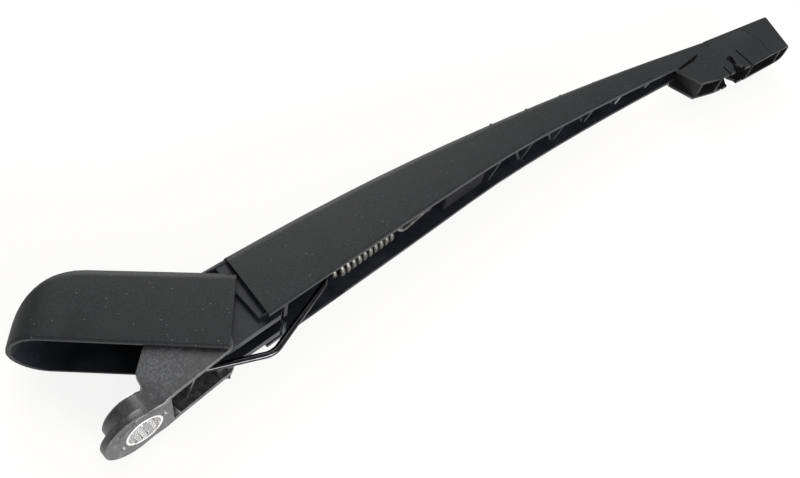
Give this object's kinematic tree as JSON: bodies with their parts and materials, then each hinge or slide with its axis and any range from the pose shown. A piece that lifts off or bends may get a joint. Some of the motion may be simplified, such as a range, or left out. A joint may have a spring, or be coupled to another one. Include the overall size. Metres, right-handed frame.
{
  "type": "rear wiper arm",
  "caption": "Rear window wiper arm with a sprung hinge head, a flip-up nut cap and a tapering channel arm that ends in a snap-in blade socket.",
  "frame": {"origin": "centre of the spindle bore at the end face that faces the window", "axes": "+Z along the spindle, away from the window; +X along the arm towards the blade; Y across the arm"},
  "size_m": [0.3824, 0.0254, 0.0947],
  "materials": {
    "arm_body": "matt, fine grain",
    "nut_cap": "matt, fine grain",
    "mounting_head": "satin, glass-filled",
    "spindle_bush": "bright",
    "hinge_pin": "satin",
    "link_wire": "dark, oiled",
    "tension_spring": "satin"
  },
  "bodies": {
    "head": {"mounting_head": "mounting_head", "spindle_bush": "spindle_bush", "hinge_pin": "hinge_pin"},
    "arm": {"arm_body": "arm_body"},
    "cap": {"nut_cap": "nut_cap"},
    "link": {"link_wire": "link_wire"},
    "spring": {"tension_spring": "tension_spring"}
  },
  "joints": [
    {"name": "arm_lift", "type": "hinge", "parent": "head", "child": "arm", "pos_m": [0.0416, 0, 0.0252], "axis": [0, -1, 0], "range_deg": [0, 60]},
    {"name": "cap_flip", "type": "hinge", "parent": "head", "child": "cap", "pos_m": [0.0416, 0, 0.0252], "axis": [0, 1, 0], "range_deg": [-41.6, 0]},
    {"name": "link_swing", "type": "hinge", "parent": "head", "child": "link", "pos_m": [0.026, 0, 0.01], "axis": [0, -1, 0], "range_deg": [0, 50.13]},
    {"name": "spring_stretch", "type": "slide", "parent": "link", "child": "spring", "axis": [0.9998, 0, 0.0205], "range_m": [0, 0.00677], "deforming": ["tension_spring"]}
  ],
  "couplings": [
    {"joint": "link_swing", "follows": "arm_lift", "ratio": 0.8355},
    {"joint": "spring_stretch", "follows": "arm_lift", "m_per_rad": 0.006455}
  ]
}
